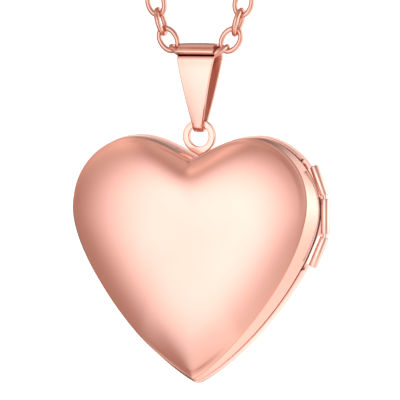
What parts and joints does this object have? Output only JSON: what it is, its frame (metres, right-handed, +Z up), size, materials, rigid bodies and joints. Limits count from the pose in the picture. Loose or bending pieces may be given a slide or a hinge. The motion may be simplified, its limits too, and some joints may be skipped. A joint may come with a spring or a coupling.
{
  "type": "locket",
  "caption": "Heart-shaped picture locket with two domed polished halves, a bent-wire side hinge, an eyelet, a folded tapering bail and a fine cable chain with a lobster clasp.",
  "frame": {"origin": "on the axis of the peg that the chain hangs on, in the plane where the two halves meet, above the heart's centre line", "axes": "+Z up, -Y towards the viewer of the locket's front, +X towards the hinge"},
  "size_m": [0.0315, 0.0199, 0.0894],
  "materials": {
    "rose_gold": "mirror-polished rose-gold plate",
    "chain": "polished rose-gold plated wire",
    "inner_frame": "polished rose-gold plate",
    "inner_plate": "satin",
    "steel_wire": "drawn wire",
    "picture_card": "blank matt card",
    "clear_film": "clear film"
  },
  "bodies": {
    "chain": {"bail_link": "chain", "chain_left_strand": "chain", "chain_left_coil": "chain", "chain_right_strand": "chain", "chain_right_coil": "chain", "clasp_jump_ring": "chain", "clasp_body": "chain", "clasp_rivet": "steel_wire", "clasp_spring": "steel_wire", "end_jump_ring": "chain"},
    "bail": {"bail": "rose_gold"},
    "locket_rear": {"rear_shell": "rose_gold", "alignment_lip": "inner_frame", "rear_inner_frame": "inner_frame", "rear_window": "clear_film", "rear_photo": "picture_card", "rear_backing_plate": "inner_plate", "rear_hinge_knuckle_top": "rose_gold", "rear_hinge_knuckle_bottom": "rose_gold", "hinge_pin": "steel_wire", "catch_bead": "inner_frame", "eyelet_tab": "rose_gold"},
    "locket_front": {"front_shell": "rose_gold", "front_inner_frame": "inner_frame", "front_window": "clear_film", "front_photo": "picture_card", "front_backing_plate": "inner_plate", "front_hinge_knuckle": "rose_gold"},
    "clasp_lever": {"clasp_lever": "chain"}
  },
  "joints": [
    {"name": "bail_swing", "type": "hinge", "parent": "chain", "child": "bail", "pos_m": [0, 0.00125, -0.03737], "axis": [1, 0, 0], "range_deg": [-35, 35]},
    {"name": "locket_swing", "type": "hinge", "parent": "bail", "child": "locket_rear", "pos_m": [0, 0.00125, -0.0463], "axis": [0, 1, 0], "range_deg": [-40, 40]},
    {"name": "cover_hinge", "type": "hinge", "parent": "locket_rear", "child": "locket_front", "pos_m": [0.01562, 0.00035, -0.05529], "axis": [0, 0, 1], "range_deg": [0, 170]},
    {"name": "clasp_lever_pivot", "type": "hinge", "parent": "chain", "child": "clasp_lever", "pos_m": [0.0145, -0.00672, -0.0141], "axis": [0, 1, 0], "range_deg": [0, 25], "stiffness_Nm_per_rad": 0.002, "springref_deg": -5.73}
  ]
}
